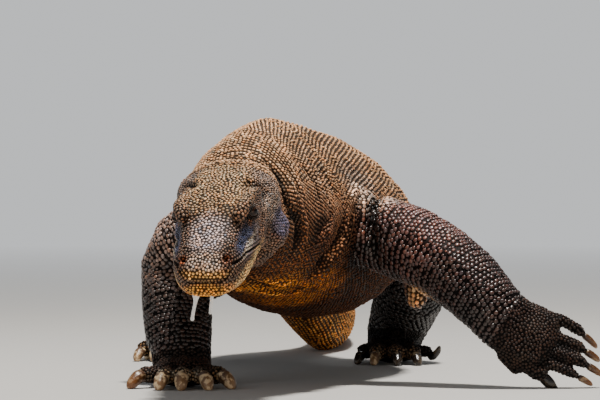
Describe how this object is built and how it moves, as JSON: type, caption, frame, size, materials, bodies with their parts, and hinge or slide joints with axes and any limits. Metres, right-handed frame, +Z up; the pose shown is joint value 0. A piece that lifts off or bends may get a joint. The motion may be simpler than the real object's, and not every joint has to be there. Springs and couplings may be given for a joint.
{
  "type": "komodo dragon",
  "caption": "Life-size still model of a walking komodo dragon, head low and snout down, a forelimb reaching out to the side and the long tail trailing on the floor.",
  "frame": {"origin": "on the floor, under the middle of the model's bounding box", "axes": "+Z up; the animal faces -Y, its tail runs towards +Y, and its left side is +X"},
  "size_m": [0.6324, 2.6782, 0.3534],
  "materials": {
    "head_hide": "knobby scales, grey-brown with cream beads, orange-tan lips and lids",
    "body_hide": "rows of rough bead scales, ochre-tan on dark brown",
    "limb_hide": "large glossy dark scales with pale dusty toes",
    "claw_horn": "dark worn horn",
    "eye": "wet, dark brown",
    "saliva": "clear wet strand"
  },
  "bodies": {
    "root": {"head": "head_hide", "lower_jaw": "head_hide", "neck": "body_hide", "trunk": "body_hide", "tail_base": "body_hide", "tail_middle": "body_hide", "tail_rear": "body_hide", "tail_tip": "body_hide", "right_upper_arm": "limb_hide", "right_forearm": "limb_hide", "right_hand": "limb_hide", "left_upper_arm": "limb_hide", "left_forearm": "limb_hide", "left_hand": "limb_hide", "left_thigh": "limb_hide", "left_shank": "limb_hide", "left_foot": "limb_hide", "right_thigh": "limb_hide", "right_shank": "limb_hide", "right_foot": "limb_hide", "right_hand_claw_1": "claw_horn", "right_hand_claw_2": "claw_horn", "right_hand_claw_3": "claw_horn", "right_hand_claw_4": "claw_horn", "right_hand_claw_5": "claw_horn", "left_hand_claw_1": "claw_horn", "left_hand_claw_2": "claw_horn", "left_hand_claw_3": "claw_horn", "left_hand_claw_4": "claw_horn", "left_hand_claw_5": "claw_horn", "left_foot_claw_1": "claw_horn", "left_foot_claw_2": "claw_horn", "left_foot_claw_3": "claw_horn", "left_foot_claw_4": "claw_horn", "left_foot_claw_5": "claw_horn", "right_foot_claw_1": "claw_horn", "right_foot_claw_2": "claw_horn", "right_foot_claw_3": "claw_horn", "right_foot_claw_4": "claw_horn", "right_foot_claw_5": "claw_horn", "left_eye": "eye", "right_eye": "eye", "saliva_1": "saliva", "saliva_2": "saliva"}
  },
  "joints": []
}
